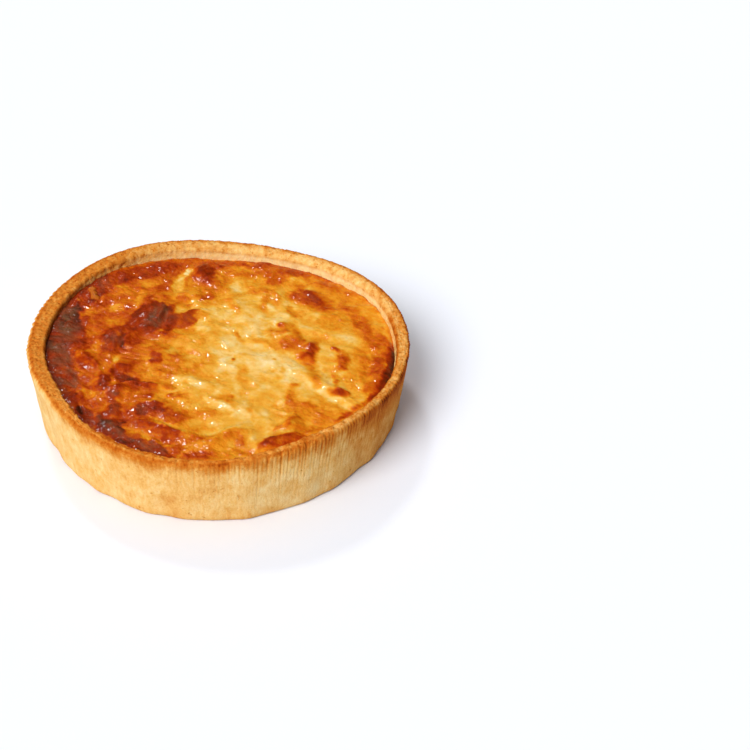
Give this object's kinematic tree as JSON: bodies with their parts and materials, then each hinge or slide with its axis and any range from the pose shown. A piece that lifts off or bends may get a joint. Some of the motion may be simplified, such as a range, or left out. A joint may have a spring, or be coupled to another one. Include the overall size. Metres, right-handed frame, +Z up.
{
  "type": "quiche",
  "caption": "Small deep round quiche: shortcrust pastry case filled with set custard under a browned melted cheese skin.",
  "frame": {"origin": "centre of the flat underside", "axes": "+Z up through the middle of the quiche; +X to the right and -Y towards the viewer, the side with the low front rim"},
  "size_m": [0.1302, 0.1299, 0.0284],
  "materials": {
    "pastry": "dry baked shortcrust pastry, pale wall and golden brown rim",
    "cheese_custard": "glossy melted cheese skin, cream to orange with dark brown burnt patches"
  },
  "bodies": {
    "root": {"pastry_case": "pastry", "filling": "cheese_custard"}
  },
  "joints": []
}
